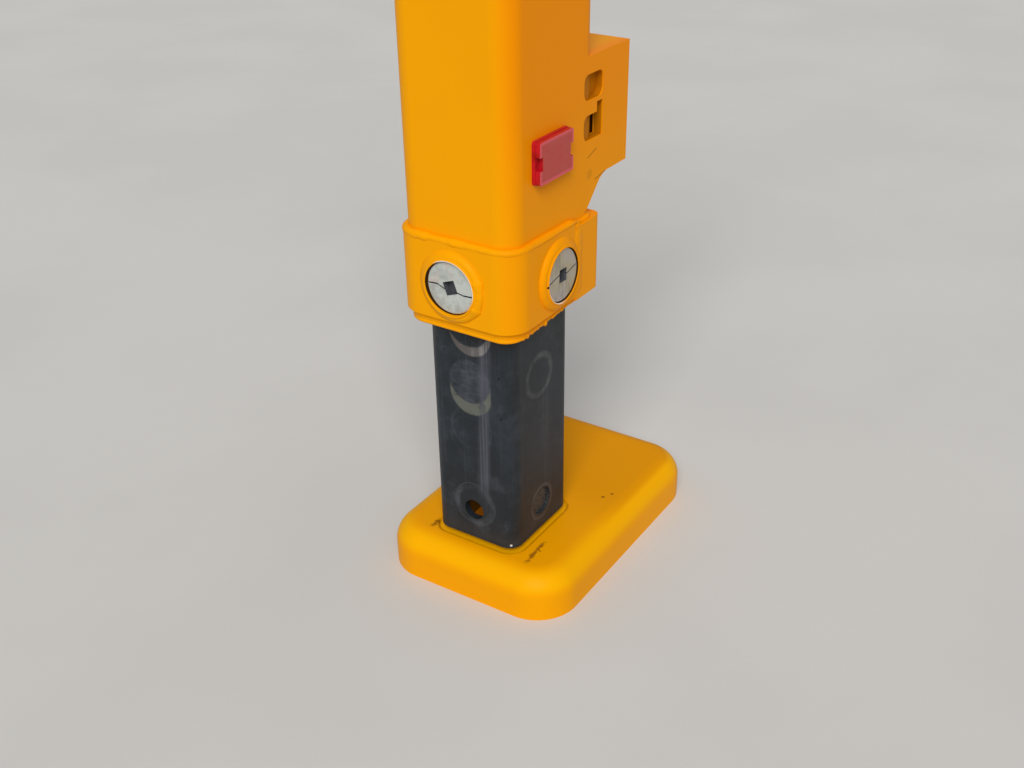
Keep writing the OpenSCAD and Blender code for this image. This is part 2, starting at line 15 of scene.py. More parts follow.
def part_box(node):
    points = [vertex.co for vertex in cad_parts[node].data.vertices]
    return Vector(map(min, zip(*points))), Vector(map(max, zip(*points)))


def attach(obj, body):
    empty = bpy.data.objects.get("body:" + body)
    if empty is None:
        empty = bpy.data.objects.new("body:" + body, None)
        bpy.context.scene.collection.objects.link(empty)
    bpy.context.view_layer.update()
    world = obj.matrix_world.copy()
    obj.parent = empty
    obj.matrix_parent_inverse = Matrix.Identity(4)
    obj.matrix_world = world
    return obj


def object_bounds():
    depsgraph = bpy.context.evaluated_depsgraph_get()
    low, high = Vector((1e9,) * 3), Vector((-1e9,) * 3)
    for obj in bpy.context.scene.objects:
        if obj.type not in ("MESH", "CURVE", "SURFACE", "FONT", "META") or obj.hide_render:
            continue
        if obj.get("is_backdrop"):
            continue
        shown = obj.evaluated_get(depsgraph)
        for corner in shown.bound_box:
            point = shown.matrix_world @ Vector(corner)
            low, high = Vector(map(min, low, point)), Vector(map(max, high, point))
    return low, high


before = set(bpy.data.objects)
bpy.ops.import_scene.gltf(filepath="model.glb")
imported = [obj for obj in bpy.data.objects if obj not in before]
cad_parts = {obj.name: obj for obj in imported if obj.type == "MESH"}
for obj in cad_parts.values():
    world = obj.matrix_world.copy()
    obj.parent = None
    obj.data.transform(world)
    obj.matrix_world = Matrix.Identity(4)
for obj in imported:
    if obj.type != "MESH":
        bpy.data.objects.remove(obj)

bl_info = {
    "name": "Stabiliser leg looks",
    "version": (1, 0, 0),
    "blender": (4, 5, 0),
    "location": "3D View > Sidebar > Stabiliser",
    "description": "Paint, wear, welds and studio for a backhoe loader's stabiliser leg",
    "category": "Object",
}

LEG_LOW, LEG_HIGH = (np.array(corner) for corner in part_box("inner_leg"))
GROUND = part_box("foot_pad")[0][2]
AXIS = np.array([(LEG_LOW[0] + LEG_HIGH[0]) / 2, (LEG_LOW[1] + LEG_HIGH[1]) / 2, GROUND])


def node_box(name):
    """A CAD node's low and high corner, in millimetres from the leg's axis at the ground."""
    return [(np.array(corner) - AXIS) * 1000 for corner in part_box(name)]


def span(name, axis):
    """A CAD node's low and high place along the axis x, y or z, in the same millimetres."""
    return [corner["xyz".index(axis)] for corner in node_box(name)]


# Planes and heights of the solids that the pieces here sit on, read from the frame in millimetres
TUBE_X0, TUBE_X1 = span("housing_tube", "x")
TUBE_Y0, TUBE_Y1 = span("rail_upper_rear", "y")[0], span("rail_upper_front", "y")[1]
TUBE_CENTRE = np.array([(TUBE_X0 + TUBE_X1) / 2, (TUBE_Y0 + TUBE_Y1) / 2])
TUBE_HALF = np.array([(TUBE_X1 - TUBE_X0) / 2, (TUBE_Y1 - TUBE_Y0) / 2])
LIP_Z = span("housing_tube", "z")[0]
COLLAR_HIGH = span("collar_outer", "z")[1]
INNER_LOW, INNER_HIGH = span("collar_inner", "z")
DISC_Z = sum(span("disc_outer", "z")) / 2
PIN_Z = sum(span("head_pin", "z")) / 2
LEVELS = ("lower", "upper")
RAILS = [node_box(f"rail_{level}_flanges") for level in LEVELS]

# Sizes that the boxes don't tell, in millimetres: the housing's corner radius and the lip's slope, the
# collar plate's thickness, its seam's distance from the housing's middle, the bush's radius, height, radius
# at its foot and radius of its mouth, the radius of a disc inside its bevel, and that of the pin's boss
TUBE_CORNER = 26.0
LIP_TILT = math.radians(2.0)
COLLAR_T = 7.0
SEAM_X = 38.0
BUSH_R, BUSH_H, FLANK_R, MOUTH_R = 36.5, 7.0, 46.5, 34.5
DISC_R = 32.0
BOSS_R = 38.0

# Low and high x, and low and high z, of the dark plate that stands in for the shade inside the slot in the
# lower rail's rear plate, and its thickness
SLOT_SHADE_PLATE = (95.5, 118.0, 590.0, 650.0)
SLOT_SHADE_PLATE_T = 5.0

# Length of one ripple of a weld and pitch of the reflector's prisms, in millimetres
RIPPLE = 3.6
PRISM = 2.4

# Directions out of the housing's four sides
SIDES = {"outer": (-1, 0), "rear": (0, -1), "inner": (1, 0), "front": (0, 1)}

# Round marks on the leg, as a centre and a radius in millimetres: (y, z) on the outer side, (x, z) on the
# rear side. The pad rubs a disc, the next pad position hides most of it, and a crescent is left.
PAD_MARKS = (((0.0, 313.0), 31.0), ((-1.0, 296.5), 31.5))
LIP_MARKS = (((0.0, 395.0), 32.0), ((-3.0, 382.0), 31.0))
FAINT_ARCS = (((0.0, 244.0), 31.0), ((2.0, 228.0), 31.0))
SMALL_RING = ((38.0, 349.0), 5.0)
HOLE_CENTRE = (-1.5, 124.5)
CHIPS = (((-45.0, 330.0), 1.6), ((-47.0, 272.0), 1.8))
REAR_PAD_RING = ((-6.0, 311.0), 28.5)
REAR_HALO = ((-1.0, 111.0), 25.0)
PIN_END = ((0.0, 112.0), 20.0)

# Two seams on the lower rail's rear side, painted as lines of shade, as end points (x, z)
RAIL_SEAMS = (((97.0, 584.0), (77.0, 577.5)), ((96.0, 545.0), (121.0, 549.0)))


def at(points):
    """Millimetres from the leg's axis at the ground, as metres in the row's frame."""
    return AXIS + np.asarray(points, float) / 1000


# Shader maths


class Wire:
    """An output socket of a shader graph. Arithmetic on it adds Math nodes."""

    def __init__(self, graph, socket):
        self.graph = graph
        self.socket = socket

    def __add__(self, other):
        return self.graph.math("ADD", self, other)

    __radd__ = __add__

    def __mul__(self, other):
        return self.graph.math("MULTIPLY", self, other)

    __rmul__ = __mul__

    def __sub__(self, other):
        return self.graph.math("SUBTRACT", self, other)

    def __rsub__(self, other):
        return self.graph.math("SUBTRACT", other, self)

    def __pow__(self, other):
        return self.graph.math("POWER", self, other)

    def __abs__(self):
        return self.graph.math("ABSOLUTE", self)

    def least(self, other):
        return self.graph.math("MINIMUM", self, other)

    def most(self, other):
        return self.graph.math("MAXIMUM", self, other)

    def sine(self):
        return self.graph.math("SINE", self)

    def root(self):
        return self.graph.math("SQRT", self)


class Finish:
    """A material under construction: a Principled shader and the nodes that feed it."""

    def __init__(self, name):
        self.material = bpy.data.materials.new(name)
        self.material.use_nodes = True
        self.tree = self.material.node_tree
        self.shader = self.tree.nodes["Principled BSDF"]
        self.place = self.node("ShaderNodeTexCoord", out="Object")
        self.axes = [
            self.node("ShaderNodeSeparateXYZ", {}, {"Vector": self.place}, out=letter) for letter in "XYZ"]

    def node(self, kind, settings=None, inputs=None, out=0):
        """Adds a node with its settings, fills its sockets with values or wires, and returns one output."""
        new = self.tree.nodes.new(kind)
        for name, value in (settings or {}).items():
            if name == "stops":
                while len(new.color_ramp.elements) < len(value):
                    new.color_ramp.elements.new(0.5)
                for element, (where, colour) in zip(new.color_ramp.elements, value):
                    element.position = where
                    element.color = colour
            else:
                setattr(new, name, value)
        for name, value in (inputs or {}).items():
            if isinstance(value, Wire):
                self.tree.links.new(value.socket, new.inputs[name])
            else:
                new.inputs[name].default_value = value
        return Wire(self, new.outputs[out])

    def math(self, operation, first, second=None):
        inputs = {0: first} if second is None else {0: first, 1: second}
        return self.node("ShaderNodeMath", {"operation": operation}, inputs)

    def step(self, value, low, high):
        """0 below low, 1 above high and a smooth rise between them. With low above high it falls."""
        flip = low > high
        start, end = (high, low) if flip else (low, high)
        inputs = {"Value": value, "From Min": start, "From Max": end}
        rise = self.node("ShaderNodeMapRange", {"interpolation_type": "SMOOTHSTEP"}, inputs)
        return 1 - rise if flip else rise

    def blend(self, factor, first, second):
        """Mixes two colours by a factor. Sockets 0, 6 and 7 are the factor and the two colours."""
        return self.node("ShaderNodeMix", {"data_type": "RGBA"}, {0: factor, 6: first, 7: second}, out=2)

    def millimetres(self):
        """Object coordinates in millimetres from the leg's axis at the ground, as three wires."""
        return [(axis - float(start)) * 1000.0 for axis, start in zip(self.axes, AXIS)]

    def distance(self, u, v, centre):
        """Distance in a plane from a centre."""
        return ((u - centre[0]) ** 2.0 + (v - centre[1]) ** 2.0).root()

    def disc(self, u, v, centre, radius, soft):
        """1 inside a circle and 0 outside, over a soft edge."""
        return self.step(self.distance(u, v, centre), radius + soft, radius - soft)

    def ring(self, u, v, centre, radius, width):
        """1 on a circle's line and 0 away from it."""
        return self.step(abs(self.distance(u, v, centre) - radius), width, width * 0.2)

    def band(self, value, low, high, soft):
        """1 between two values and 0 outside."""
        return self.step(value, low - soft, low + soft) * self.step(value, high + soft, high - soft)

    def box(self, place, low, high, soft):
        """1 inside a box and 0 outside, with an edge as soft as soft says along x, y and z."""
        along_x, along_y, along_z = (self.band(*each) for each in zip(place, low, high, soft))
        return along_y * along_x * along_z

    def stroke(self, u, v, start, end, width):
        """1 on the line between two points of a plane and 0 away from it."""
        run = (end[0] - start[0], end[1] - start[1])
        length = run[0] ** 2 + run[1] ** 2
        share = (u - start[0]) * (run[0] / length) + (v - start[1]) * (run[1] / length)
        share = share.most(0.0).least(1.0)
        return self.step(self.distance(u - share * run[0], v - share * run[1], start), width, width * 0.3)

    def noise(self, scale, detail=2.0, roughness=0.5, distortion=0.0, vector=None):
        inputs = {
            "Vector": vector or self.place, "Scale": scale, "Detail": detail, "Roughness": roughness,
            "Distortion": distortion,
        }
        return self.node("ShaderNodeTexNoise", {}, inputs)

    def stretched(self, scale, turn=(0.0, 0.0, 0.0)):
        """Object coordinates, scaled and turned by a Mapping node."""
        return self.node("ShaderNodeMapping", {}, {"Vector": self.place, "Scale": scale, "Rotation": turn})

    def bump(self, height, strength, distance):
        inputs = {"Height": height, "Strength": strength, "Distance": distance}
        return self.node("ShaderNodeBump", {}, inputs)

    def set(self, **inputs):
        """Fills the shader's sockets: base_color means Base Color."""
        names = {
            "base_color": "Base Color", "roughness": "Roughness", "metallic": "Metallic",
            "normal": "Normal", "specular": "Specular IOR Level",
        }
        for key, value in inputs.items():
            socket = self.shader.inputs[names[key]]
            if isinstance(value, Wire):
                self.tree.links.new(value.socket, socket)
            else:
                socket.default_value = value
        return self.material


def rgb(red, green, blue):
    """A colour of 0 to 255 on the screen, as linear light."""
    levels = np.array([red, green, blue], float) / 255
    linear = np.where(levels <= 0.04045, levels / 12.92, ((levels + 0.055) / 1.055) ** 2.4)
    return (*linear.tolist(), 1.0)


def dress(material, *nodes):
    """Gives the CAD nodes a material in every slot."""
    for name in nodes:
        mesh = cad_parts[name].data
        if not mesh.materials:
            mesh.materials.append(material)
        for index in range(len(mesh.materials)):
            mesh.materials[index] = material


# Mesh surfaces


def add_piece(name, vertices, faces, material, body, slot):
    """Makes one object from a vertex array and a list of face arrays, and lets it ride on a body."""
    mesh = bpy.data.meshes.new(name)
    mesh.from_pydata(vertices.tolist(), [], [face for block in faces for face in block.tolist()])
    mesh.validate()
    mesh.polygons.foreach_set("use_smooth", np.ones(len(mesh.polygons), bool))
    mesh.materials.append(material)
    piece = bpy.data.objects.new(name, mesh)
    bpy.context.scene.collection.objects.link(piece)
    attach(piece, body)
    return piece


def skin(grid, loop_u):
    """Vertices and faces of a grid of points. It is closed round v, and either closed along u or capped at
    both ends.

    Square (i, j) joins points (i, j), (i, j + 1), (i + 1, j + 1) and (i + 1, j). A cap is a fan of triangles
    round the mean of the end ring.
    """
    count_u, count_v = grid.shape[:2]
    rows = np.arange(count_u if loop_u else count_u - 1)
    i, j = (axis.ravel() for axis in np.meshgrid(rows, np.arange(count_v), indexing="ij"))
    i2, j2 = (i + 1) % count_u, (j + 1) % count_v
    squares = np.stack([i * count_v + j, i * count_v + j2, i2 * count_v + j2, i2 * count_v + j], 1)
    vertices = grid.reshape(-1, 3)
    if loop_u:
        return vertices, [squares]
    total = count_u * count_v
    ends = np.stack([grid[0].mean(0), grid[-1].mean(0)])
    ring = np.arange(count_v)
    after = (ring + 1) % count_v
    first = np.stack([np.full(count_v, total), after, ring], 1)
    base = (count_u - 1) * count_v
    last = np.stack([np.full(count_v, total + 1), base + ring, base + after], 1)
    return np.concatenate([vertices, ends]), [squares, first, last]


def waves(values, seed, octaves=5):
    """A repeatable wandering curve between about -1 and 1: a sum of sines. Each has 1.9 times the pitch of
    the one before and 0.62 times its height."""
    total = np.zeros_like(values, dtype=float)
    weight = 0.0
    for octave in range(octaves):
        share = 0.62 ** octave
        total += share * np.sin(values * 1.9 ** octave * (1 + 0.07 * seed) + 2.3 * seed + 1.7 * octave ** 2)
        weight += share
    return total / weight


def bead(
        path, out, up, half_width, half_height, seed, loop=False, sides=16, rough=0.08, round_off=1.0,
        lumps=()):
    """A weld bead: a section carried along a path.

    At the angle a the section is the point (w |cos a|^q, h |sin a|^q) with the signs of cos and sin, where q
    is round_off. Its size along the length s is 1 + rough waves(s), and size exp(-(d / reach)^2) more at the
    distance d from each lump (x, y, z, size, reach). An open bead's ends shrink with the root of the
    distance to them. The size is then multiplied by 1 + 0.04 sin(3 a + 5 waves(s)), and
    0.035 sin(2 pi (s + 2 cos^2 a) / RIPPLE) is added, which bows each ripple. path, out and up are arrays of
    points and unit vectors in millimetres, one row for each station; the half axes w and h are numbers or
    one number for each station.
    """
    steps = np.linalg.norm(np.diff(path, axis=0, append=path[:1] if loop else path[-1:]), axis=1)
    along = np.concatenate([[0], np.cumsum(steps)[:-1]])
    pitch = RIPPLE
    if loop:
        total = steps.sum()
        pitch = total / round(total / RIPPLE)
        turn = 2 * np.pi * along / total
        wander = waves(9 * np.cos(turn) + 7 * np.sin(2 * turn), seed)
    else:
        wander = waves(along / 9, seed)
    size = 1 + rough * wander
    for x, y, z, height, reach in lumps:
        size = size + height * np.exp(-(((path - [x, y, z]) / reach) ** 2).sum(1))
    if not loop:
        to_end = np.minimum(along, along[-1] - along)
        size = size * np.sqrt(np.clip(to_end / (1.2 * np.mean(half_width)), 0.04, 1))
    angle = np.linspace(0, 2 * np.pi, sides, endpoint=False)
    cosine, sine = np.cos(angle), np.sin(angle)
    ripple = 0.035 * np.sin(2 * np.pi * (along[:, None] + 2 * cosine ** 2) / pitch)
    growth = size[:, None] * (1 + 0.04 * np.sin(3 * angle + 5 * wander[:, None])) + ripple
    each = np.ones(len(path))
    ring_out = (half_width * each)[:, None] * growth * np.sign(cosine) * abs(cosine) ** round_off
    ring_up = (half_height * each)[:, None] * growth * np.sign(sine) * abs(sine) ** round_off
    grid = path[:, None, :] + ring_out[..., None] * out[:, None, :] + ring_up[..., None] * up[:, None, :]
    ahead = path[1] - path[0]
    if np.dot(np.cross(out[0], up[0]), ahead) > 0:
        grid = grid[:, ::-1]
    vertices, faces = skin(grid, loop)
    return at(vertices), faces


def spatter(path, seed, count, size, reach):
    """Lumps at random places along a path, of random size up to size and reach up to reach."""
    rng = np.random.default_rng(seed)
    points = path[rng.integers(len(path), size=count)]
    return np.column_stack([points, size * rng.uniform(0.3, 1, count), reach * rng.uniform(0.5, 1, count)])


def join(parts):
    """Several (vertices, faces) as one."""
    vertices, faces, offset = [], [], 0
    for points, blocks in parts:
        vertices.append(points)
        faces.extend(block + offset for block in blocks)
        offset += len(points)
    return np.concatenate(vertices), faces


def round_outline(grow, spacing):
    """Points and outward directions round the housing's outline, grown by grow: a corner's centre moves
    along each side, and the direction turns by 90 degrees at each corner."""
    radius = TUBE_CORNER + grow
    arc = radius * np.pi / 2
    corners = np.array([[1, -1], [1, 1], [-1, 1], [-1, -1]]) * (TUBE_HALF - TUBE_CORNER)
    lengths, angles, centres = [0.0], [0.0], [corners[0]]
    for index in range(4):
        start, end = corners[index], corners[(index + 1) % 4]
        straight_end = lengths[-1] + np.linalg.norm(end - start)
        lengths += [straight_end, straight_end + arc]
        angles += [angles[-1], angles[-1] + np.pi / 2]
        centres += [end, end]
    centres = np.array(centres)
    count = round(lengths[-1] / spacing)
    s = np.arange(count) * lengths[-1] / count
    angle = np.interp(s, lengths, angles)
    out = np.stack([np.cos(angle), np.sin(angle), np.zeros(count)], 1)
    middle = np.stack([np.interp(s, lengths, centres[:, axis]) for axis in (0, 1)], 1)
    points = np.zeros((count, 3))
    points[:, :2] = middle + TUBE_CENTRE + radius * out[:, :2]
    return points, out


def straight(start, end, spacing):
    """Points from start to end, evenly spaced."""
    start, end = np.array(start, float), np.array(end, float)
    count = max(8, round(np.linalg.norm(end - start) / spacing))
    return start + (end - start) * np.linspace(0, 1, count)[:, None]


def same(vector, count):
    """One unit vector for each of count stations."""
    vector = np.array(vector, float)
    return np.repeat((vector / np.linalg.norm(vector))[None], count, 0)


def circle(direction, height, radius, out_by):
    """Points and outward directions of a circle out_by above one of the housing's faces, round the point
    at a height where the leg's axis meets that face."""
    out = np.array([*direction, 0.0])
    face = TUBE_HALF[0 if direction[0] else 1] + out_by
    middle = np.array([*TUBE_CENTRE, 0.0]) * abs(out) + out * face
    middle[2] = height
    side = np.cross([0, 0, 1], out)
    angle = np.linspace(0, 2 * np.pi, round(2 * np.pi * radius / 0.8), endpoint=False)[:, None]
    around = np.cos(angle) * side + np.sin(angle) * np.array([0, 0, 1.0])
    return middle + radius * around, around


def screw_head(radius, height, sides=48):
    """A socket head with its base at z = 0: rings run up the side, over a bevel and down a hexagon, whose
    radius at the angle a is s / cos(a - 60 degrees times the nearest whole number of sixths)."""
    angle = np.linspace(0, 2 * np.pi, sides, endpoint=False)
    hexagon = 0.5 * radius / np.cos((angle + np.pi / 6) % (np.pi / 3) - np.pi / 6)
    rings = [
        (radius, -0.5), (radius, height * 0.86), (radius * 0.93, height), (hexagon, height),
        (hexagon, height * 0.4)]
    grid = np.stack([
        np.stack([size * np.cos(angle), size * np.sin(angle), np.full(sides, level)], 1)
        for size, level in rings])
    return skin(grid[:, ::-1], False)


def block(low, high):
    """A box whose corner number 4 i + 2 j + k takes x from low or high by i, y by j and z by k."""
    corners = [[x, y, z] for x in (low[0], high[0]) for y in (low[1], high[1]) for z in (low[2], high[2])]
    faces = np.array([[0, 1, 3, 2], [4, 6, 7, 5], [0, 4, 5, 1], [2, 3, 7, 6], [0, 2, 6, 4], [1, 5, 7, 3]])
    return at(corners), [faces]


def add_weld(name, surface):
    """Adds a painted weld that rides on the housing."""
    return add_piece(name, *surface, bpy.data.materials["yellow_enamel"], "housing", "yellow_paint")


# Welds


def collar_top_bead(sizes):
    """The bead over the collar's upper edge. It runs round the housing, gets lower along each plate away from
    the outer side, and drops to the inner plate's edge past the seams, eased by t^2 (3 - 2 t)."""
    path, out = round_outline(0.0, 0.8)
    seam = TUBE_CENTRE[0] + np.where(path[:, 1] < TUBE_CENTRE[1], SEAM_X, -SEAM_X)
    taper = np.clip((path[:, 0] - TUBE_X0 - 19) / (seam - TUBE_X0 - 10), 0, 1)
    inner = np.clip((path[:, 0] - seam) / 30 + 0.3, 0, 1)
    inner = inner * inner * (3 - 2 * inner)
    path += out * (2 - 1.8 * inner)[:, None]
    path[:, 2] = COLLAR_HIGH - 1 - 0.5 * taper - inner * (COLLAR_HIGH - INNER_HIGH - 2.5)
    width = sizes.half_width * (1 - 0.3 * inner)
    height = sizes.half_height * (1 - 0.5 * taper)
    lumps = [(-95, 50, COLLAR_HIGH, 0.2, 6), (-95, 38, COLLAR_HIGH, 0.1, 5), *spatter(path, 3, 50, 0.06, 9)]
    return bead(
        path, out, same((0, 0, 1), len(path)), width, height, 1, loop=True, sides=20,
        rough=sizes.rough * 0.6, round_off=1.05, lumps=lumps)


def lip_bead(sizes):
    """The thin bead round the housing's lower lip, with crumbs on the rear side."""
    path, out = round_outline(-1.5, 0.7)
    path[:, 2] = LIP_Z + 1.2 + np.tan(LIP_TILT) * (path[:, 0] - TUBE_X0)
    crumbs = spatter(path[(path[:, 1] < -60) & (path[:, 0] > -70)], 5, 34, 0.5, 2.2)
    return bead(
        path, out, same((0, 0, 1), len(path)), 2.1, 2.7, 4, loop=True, sides=12, rough=sizes.rough * 0.5,
        lumps=crumbs)


def seam_bead(side, sizes):
    """The flat bead down the seam between the collar's two plates, on the rear (-1) or the front (1)."""
    path = straight((0, 0, INNER_LOW + 0.5), (0, 0, INNER_HIGH + 4), 0.8)
    path[:, 0] = TUBE_CENTRE[0] - side * (SEAM_X + 7.5)
    path[:, 1] = TUBE_CENTRE[1] + side * (TUBE_HALF[1] + COLLAR_T - 2.5)
    across, out = same((1, 0, 0), len(path)), same((0, side, 0), len(path))
    return bead(
        path, across, out, 11.5, 3.5, 7 + side, rough=sizes.rough * 0.6,
        lumps=spatter(path, 9 + side, 12, 0.1, 7))


def bush_beads(index, direction, sizes):
    """Two beads on one bush: a broad one on its slope, higher where it faces the outer rear corner, and a
    thin one round its rim. The outer bush has two blobs."""
    slope = math.hypot(FLANK_R - BUSH_R, BUSH_H)
    down, lift = BUSH_H / slope, (FLANK_R - BUSH_R) / slope
    axis = np.array([*direction, 0.0])
    path, radial = circle(direction, DISC_Z, (BUSH_R + FLANK_R) / 2 + 0.5, COLLAR_T + BUSH_H / 2 - 0.6)
    facing = np.clip(radial @ [-1, -1, 0] + 0.25, 0, 1)
    lumps = spatter(path, 20 + index, 10, 0.1, 8)
    if direction == SIDES["outer"]:
        lumps = [*lumps, (-103, -44, 470, 1.0, 5.5), (-103, -39, 432, 0.8, 5)]
    broad = bead(
        path, lift * radial - down * axis, down * radial + lift * axis, 4.4, 0.5 + 1.3 * facing, 11 + index,
        loop=True, rough=sizes.rough, lumps=lumps)
    path, radial = circle(direction, DISC_Z, BUSH_R - 0.9, COLLAR_T + BUSH_H - 0.1)
    thin = bead(path, radial, same(axis, len(path)), 1.0, 0.7, 15 + index, loop=True, rough=0.03)
    return [broad, thin]


# What a user would change


class PaintSizes(bpy.types.PropertyGroup):
    yellow: FloatVectorProperty(
        name="Yellow", description="Colour of the enamel", subtype="COLOR", size=3, min=0, max=1,
        default=rgb(250, 167, 0)[:3])
    roughness: FloatProperty(
        name="Roughness", description="Roughness of the enamel", subtype="FACTOR", min=0, max=1, default=0.42)


class WeldSizes(bpy.types.PropertyGroup):
    half_width: FloatProperty(
        name="Half width", description="Half the width of the collar's upper bead, in millimetres",
        min=1, max=12, default=5.6)
    half_height: FloatProperty(
        name="Half height", description="Half the height of the collar's upper bead, in millimetres",
        min=1, max=12, default=5.2)
    rough: FloatProperty(
        name="Roughness", description="How far the beads wander in size", subtype="FACTOR", min=0, max=1,
        default=0.1)


class StudioSizes(bpy.types.PropertyGroup):
    key: FloatProperty(
        name="Key light", description="Strength of the soft key light", min=0, max=20, default=2.2)
    key_angle: FloatProperty(
        name="Key softness", description="Apparent size of the key light", subtype="ANGLE",
        min=0, max=3, default=math.radians(30))
    fill: FloatProperty(
        name="Fill", description="Strength of the surrounding light", min=0, max=5, default=0.36)
    floor: FloatVectorProperty(
        name="Floor", description="Colour of the floor", subtype="COLOR", size=3, min=0, max=1,
        default=(0.7, 0.685, 0.66))


# Finishes


def disc_shade_and_highlights(finish, base, x, y, z):
    """Paints shade into the gap round the outer and the rear disc, and painted highlights as crescents on
    their bushes.

    A gap lies deeper in shade on one side of a disc than on the other, so its painted shade starts at a depth
    that slopes over the bush.
    """
    height = (z - DISC_Z) * (1 / BUSH_R)
    outer_face = float(TUBE_X0 - COLLAR_T - BUSH_H)
    rear_face = float(TUBE_CENTRE[1] - TUBE_HALF[1] - COLLAR_T - BUSH_H)
    by_outer = finish.distance(y, z, (0.0, DISC_Z))
    by_rear = finish.distance(x, z, (0.0, DISC_Z))
    outer_depth = x - outer_face + (y * (0.8 / BUSH_R) + height * 0.6) * 2.6
    rear_depth = y - rear_face + x * (0.9 / BUSH_R) - height * 0.4
    # Painted shade: the gap round each disc is coloured dark brown where it would lie in shadow
    outer_gap_shade = finish.step(by_outer, MOUTH_R + 0.4, MOUTH_R + 0.1) * finish.band(outer_depth, 2.8, 12.0, 0.5)
    rear_gap_shade = finish.step(by_rear, MOUTH_R + 0.4, MOUTH_R + 0.1) * finish.band(rear_depth, 1.2, 12.0, 0.3)
    base = finish.blend(outer_gap_shade.most(rear_gap_shade), base, rgb(66, 42, 14))
    # Painted highlights: a near-white crescent on each bush's rim where light would catch it
    outer_rim_highlight = finish.band(by_outer, MOUTH_R - 0.7, MOUTH_R + 1.3, 0.2)
    outer_rim_highlight = outer_rim_highlight * finish.step(x, outer_face + 2.0, outer_face + 1.4)
    outer_rim_highlight = outer_rim_highlight * finish.step(height * 0.8 - y * (0.6 / BUSH_R), 0.25, 0.6)
    rear_rim_highlight = finish.band(by_rear, MOUTH_R - 0.7, MOUTH_R + 1.1, 0.2)
    rear_rim_highlight = rear_rim_highlight * finish.step(y, rear_face + 1.6, rear_face + 1.0)
    rear_rim_highlight = rear_rim_highlight * finish.step(height * -0.6 - x * (0.8 / BUSH_R), 0.4, 0.8) * 0.7
    return finish.blend(outer_rim_highlight.most(rear_rim_highlight) * 0.9, base, rgb(250, 250, 246))


def hollow_shade(finish, base, place):
    """Paints shade: darkens the floors of the rail's two recesses, the plate behind its slot and the enamel
    that the leg hides.
    """
    # Painted shade on the floors of the two recesses
    recess = finish.box(place, (62.0, -80.2, 594.0), (114.0, -70.0, 682.0), (1.0, 0.4, 1.0))
    base = finish.blend(recess * 0.7, base, rgb(150, 90, 8))
    # Painted shade: the plate behind the slot is coloured nearly black
    behind = finish.box(place, (94.0, -68.4, 588.0), (119.0, -61.0, 652.0), (1.0, 0.4, 1.0))
    base = finish.blend(behind, base, rgb(44, 24, 4))
    # Painted shade on the enamel inside the leg
    inside = finish.box(place, (-62.0, -56.0, 76.0), (62.0, 56.0, 200.0), (1.0, 1.0, 1.0))
    return finish.blend(inside * 0.85, base, rgb(84, 60, 18))


def rear_shade_marks(finish, base, x, y, z):
    """Paints shade as dark lines along the two seams on the lower rail and as a dark dot in the nick on the
    rear bush, and a faint darker round spot on the rail.
    """
    # Painted shade: darker lines along the two seams, with a faint darker spot beside them
    first, second = (finish.stroke(x, z, *ends, 1.4) for ends in RAIL_SEAMS)
    on_rail = finish.step(y, -81.0, -81.6)
    seams = first.most(second) * on_rail
    spot = finish.disc(x, z, (81.5, 555.5), 6.5, 2.0) * on_rail
    base = finish.blend(seams.most(spot * 0.35) * 0.55, base, rgb(130, 74, 6))
    # Painted shade: a dark dot in the nick on the rear bush
    nick = finish.disc(x, z, (-36.5, 452.6), 1.6, 0.7) * finish.step(y, -90.0, -92.0)
    return finish.blend(nick, base, rgb(52, 20, 6))


def foot_scuff(finish, x, y, z):
    """1 on the two scuffs and the two specks on the foot's top, and 0 elsewhere."""
    grime = finish.noise(160, 6.0, 0.7)
    rough = (grime - 0.5) * 14.0
    near = finish.band(x, -78.0, -30.0, 8.0) * finish.step(abs(y + 83.5 - x * 0.06) + rough * 1.5, 4.0, 1.0)
    far = finish.band(x, -78.0, -58.0, 4.0) * finish.step(abs(y - 68.5) + rough, 4.0, 1.0)
    specks = finish.disc(x, y, (108.7, -100.5), 2.4, 1.2).most(finish.disc(x, y, (122.3, -107.9), 2.2, 1.2))
    return finish.step(z, 72.0, 69.0) * near.most(far).most(specks)


